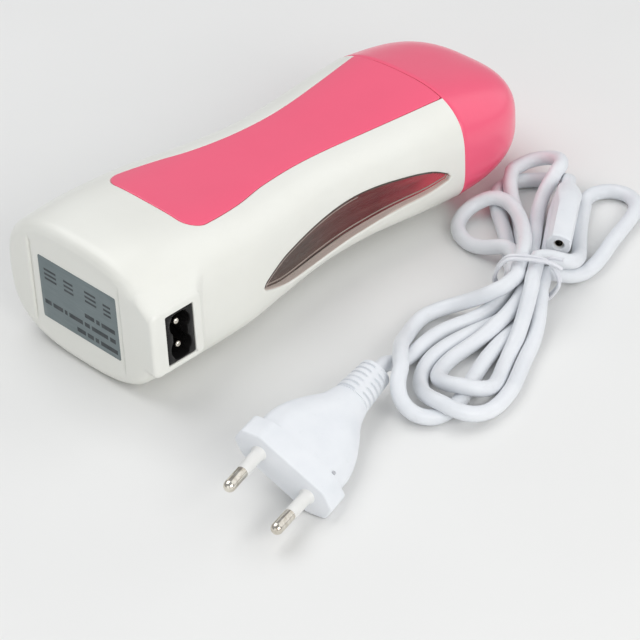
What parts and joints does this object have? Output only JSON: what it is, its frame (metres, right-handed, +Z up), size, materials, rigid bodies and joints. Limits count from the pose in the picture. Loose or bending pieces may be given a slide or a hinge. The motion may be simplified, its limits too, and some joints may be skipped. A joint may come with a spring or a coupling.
{
  "type": "roll-on wax cartridge heater",
  "caption": "Handheld roll-on depilatory wax cartridge heater lying on its back, with a pull-off cap, a viewing window and a tied mains lead.",
  "frame": {"origin": "middle of the heater's box in plan, on the surface that it lies on", "axes": "+X from the base end to the tip of the cap, +Z up out of the coloured front panel, so +Y is the side away from the window and the mains inlet"},
  "size_m": [0.209, 0.1468, 0.0484],
  "materials": {
    "shell_ivory": "gloss ivory moulding",
    "panel_pink": "gloss pink moulding",
    "cap_pink": "gloss pink moulding",
    "cover_ivory": "satin ivory moulding",
    "lens_clear": "clear moulding with a warm tint",
    "chamber_aluminium": "drawn sheet, satin",
    "inner_plastic": "matt white moulding",
    "inlet_black": "black moulding",
    "nickel": "nickel plate on brass",
    "screw_steel": "plain steel",
    "spring_steel": "bright spring strip",
    "heater_ceramic": "ceramic in a film jacket",
    "insulation": "film and felt",
    "label_grey": "printed grey film",
    "wire_brown": "brown sleeving",
    "wire_blue": "blue sleeving",
    "plug_white": "cool white soft moulding",
    "sleeve_cream": "cream insulation",
    "cord_white": "smooth white jacket",
    "tie_white": "white covered wire"
  },
  "bodies": {
    "heater": {"main_shell": "shell_ivory", "front_panel": "panel_pink", "back_cover": "cover_ivory", "back_screw_1": "screw_steel", "back_screw_2": "screw_steel", "cap_collar": "inner_plastic", "window_lens": "lens_clear", "heating_chamber": "chamber_aluminium", "chamber_bulkhead": "inner_plastic", "cartridge_spring": "spring_steel", "ptc_heater": "heater_ceramic", "insulation_pad": "insulation", "thermostat": "screw_steel", "thermal_fuse": "screw_steel", "wire_live": "wire_brown", "wire_link": "wire_brown", "wire_neutral": "wire_blue", "wire_heater": "wire_blue", "inlet_socket": "inlet_black", "inlet_pin_upper": "nickel", "inlet_pin_lower": "nickel", "crimp_live": "nickel", "crimp_neutral": "nickel", "rating_label": "label_grey", "plug_body": "plug_white", "plug_strain_relief": "plug_white", "plug_sleeve_left": "sleeve_cream", "plug_sleeve_right": "sleeve_cream", "plug_pin_left": "nickel", "plug_pin_right": "nickel", "connector_body": "plug_white", "connector_contact_upper": "nickel", "connector_contact_lower": "nickel", "power_cord": "cord_white", "twist_tie": "tie_white"},
    "cap": {"cap": "cap_pink"}
  },
  "joints": [
    {"name": "cap_pull", "type": "slide", "parent": "heater", "child": "cap", "axis": [1, 0, 0], "range_m": [0, 0.06]}
  ]
}
